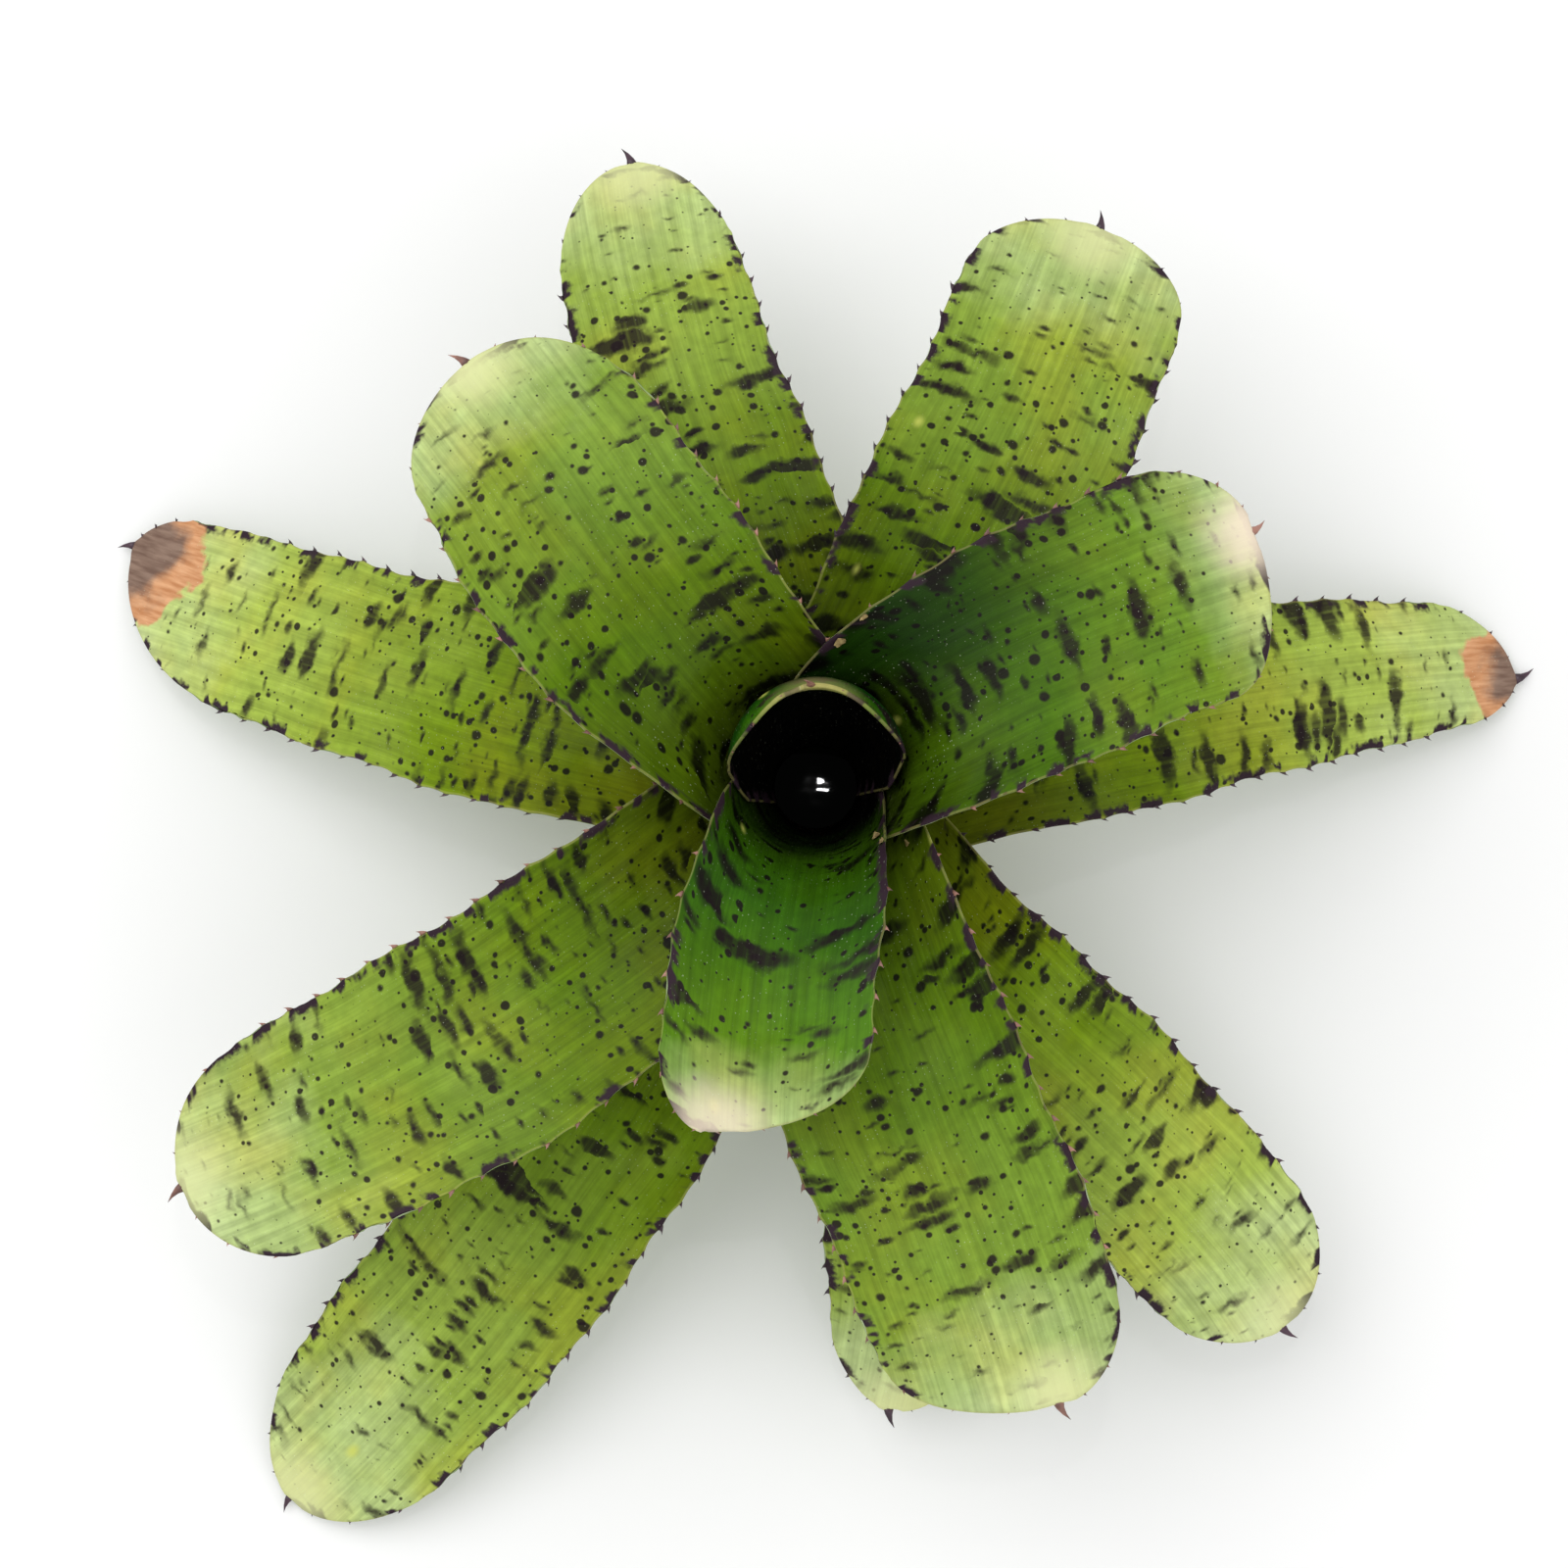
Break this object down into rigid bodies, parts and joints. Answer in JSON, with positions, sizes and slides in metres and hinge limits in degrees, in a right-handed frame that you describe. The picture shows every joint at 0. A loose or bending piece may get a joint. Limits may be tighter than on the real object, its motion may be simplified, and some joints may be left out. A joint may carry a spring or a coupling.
{
  "type": "neoregelia bromeliad",
  "caption": "Tank bromeliad rosette: broad strap leaves with spined edges nested round a water-holding cup, on a short stem with a flat cut base.",
  "frame": {"origin": "centre of the stem's flat cut base, on the surface that the plant stands on", "axes": "+Z up along the rosette's axis; +Y is up and +X right in the picture"},
  "size_m": [0.4012, 0.3748, 0.1411],
  "materials": {
    "young_leaf": "living leaf, smooth and faintly waxy, saturated green with dark bars and spots",
    "old_leaf": "living leaf, smooth and faintly waxy, yellow green with dark bars and spots",
    "stem_bark": "dry fibrous stem with leaf scars",
    "water": "still dark water"
  },
  "bodies": {
    "root": {"heart_leaf": "young_leaf", "leaf_02": "young_leaf", "leaf_03": "young_leaf", "leaf_04": "young_leaf", "leaf_05": "young_leaf", "leaf_06": "young_leaf", "leaf_07": "young_leaf", "leaf_08": "old_leaf", "leaf_09": "old_leaf", "leaf_10": "old_leaf", "leaf_11": "old_leaf", "leaf_12": "old_leaf", "leaf_13": "old_leaf", "stem": "stem_bark", "tank_water": "water"}
  },
  "joints": []
}
